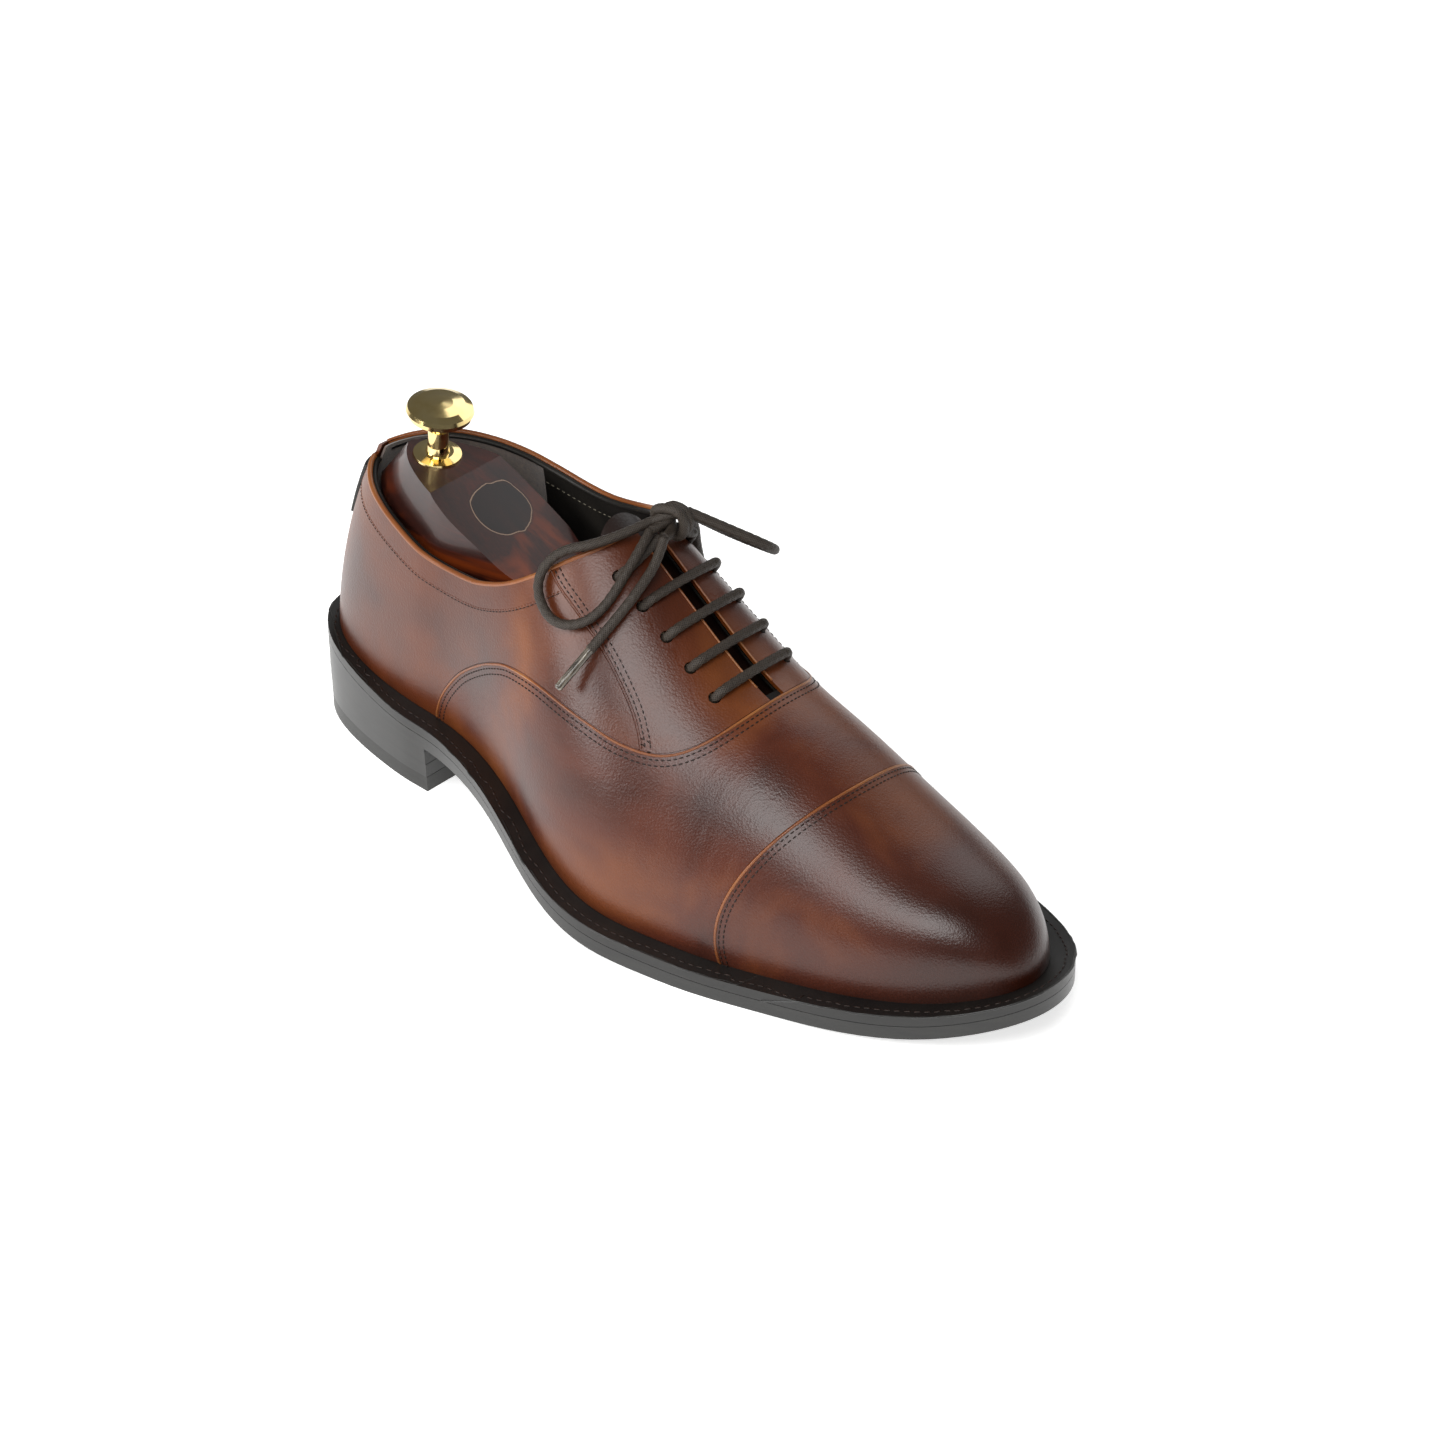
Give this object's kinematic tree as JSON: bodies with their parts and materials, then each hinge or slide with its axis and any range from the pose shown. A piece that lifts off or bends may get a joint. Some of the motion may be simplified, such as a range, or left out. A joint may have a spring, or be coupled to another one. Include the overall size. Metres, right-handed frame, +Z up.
{
  "type": "leather oxford shoe",
  "caption": "Right toe-cap oxford shoe in brown leather, laced and tied, on a stacked heel, with a two-piece wooden shoe tree and brass knob inside.",
  "frame": {"origin": "on the ground, under the heel, on the line of the heel seat", "axes": "+X to the toe, +Y to the inner (medial) side of the foot, +Z up"},
  "size_m": [0.3026, 0.1101, 0.1231],
  "materials": {
    "upper_leather": "burnished calf, semi-gloss",
    "lining_leather": "smooth black lining leather",
    "suede": "brown suede",
    "stiffening": "matt stiffened cloth",
    "welt_black": "black edge dressing, waxed",
    "sole_leather": "dark sole leather, dressed edge",
    "insole_leather": "natural tan",
    "cork": "cork granules in binder",
    "shank_steel": "plain steel strip",
    "rubber_black": "black rubber",
    "nail_steel": "steel nails",
    "lace_cotton": "waxed braided cotton, dark brown",
    "aglet_film": "clear film over the braid",
    "tree_wood": "red-brown lacquered wood",
    "tree_steel": "steel tube, rod, pin and spring",
    "knob_brass": "polished brass"
  },
  "bodies": {
    "shoe": {"aglet_lateral": "aglet_film", "aglet_medial": "aglet_film", "back_strap": "lining_leather", "collar_band_lateral": "upper_leather", "collar_band_medial": "upper_leather", "cork_filler": "cork", "facing_lateral": "upper_leather", "facing_medial": "upper_leather", "heel_counter": "stiffening", "heel_grip": "suede", "heel_lift_1": "sole_leather", "heel_lift_2": "sole_leather", "heel_lift_3": "sole_leather", "heel_nails": "nail_steel", "heel_top_piece": "rubber_black", "insole_board": "insole_leather", "lace_end_lateral": "lace_cotton", "lace_end_medial": "lace_cotton", "lace_knot": "lace_cotton", "lace_laced": "lace_cotton", "lace_loop_lateral": "lace_cotton", "lace_loop_medial": "lace_cotton", "outsole": "sole_leather", "quarter_backer_lateral": "stiffening", "quarter_backer_medial": "stiffening", "quarter_lateral": "upper_leather", "quarter_lining_lateral": "lining_leather", "quarter_lining_medial": "lining_leather", "quarter_medial": "upper_leather", "shank": "shank_steel", "sock_liner": "lining_leather", "toe_cap": "upper_leather", "toe_puff": "stiffening", "tongue": "upper_leather", "tree_forepart": "tree_wood", "tree_pivot_pin": "tree_steel", "vamp": "upper_leather", "vamp_interlining": "stiffening", "vamp_lining": "lining_leather", "waist_filler": "cork", "welt": "welt_black"},
    "tree_link": {"tree_tube": "tree_steel", "tree_spring": "tree_steel"},
    "tree_heel": {"tree_heel_block": "tree_wood", "tree_rod": "tree_steel", "knob_plate": "knob_brass", "knob": "knob_brass"}
  },
  "joints": [
    {"name": "tree_heel_lift", "type": "hinge", "parent": "shoe", "child": "tree_link", "pos_m": [0.128, 0, 0.044], "axis": [0, 1, 0], "range_deg": [0, 22]},
    {"name": "tree_spring_slide", "type": "slide", "parent": "tree_link", "child": "tree_heel", "axis": [1, 0, 0], "range_m": [0, 0.01], "stiffness_N_per_m": 900, "springref_m": -0.006, "deforming": ["tree_spring"]}
  ]
}
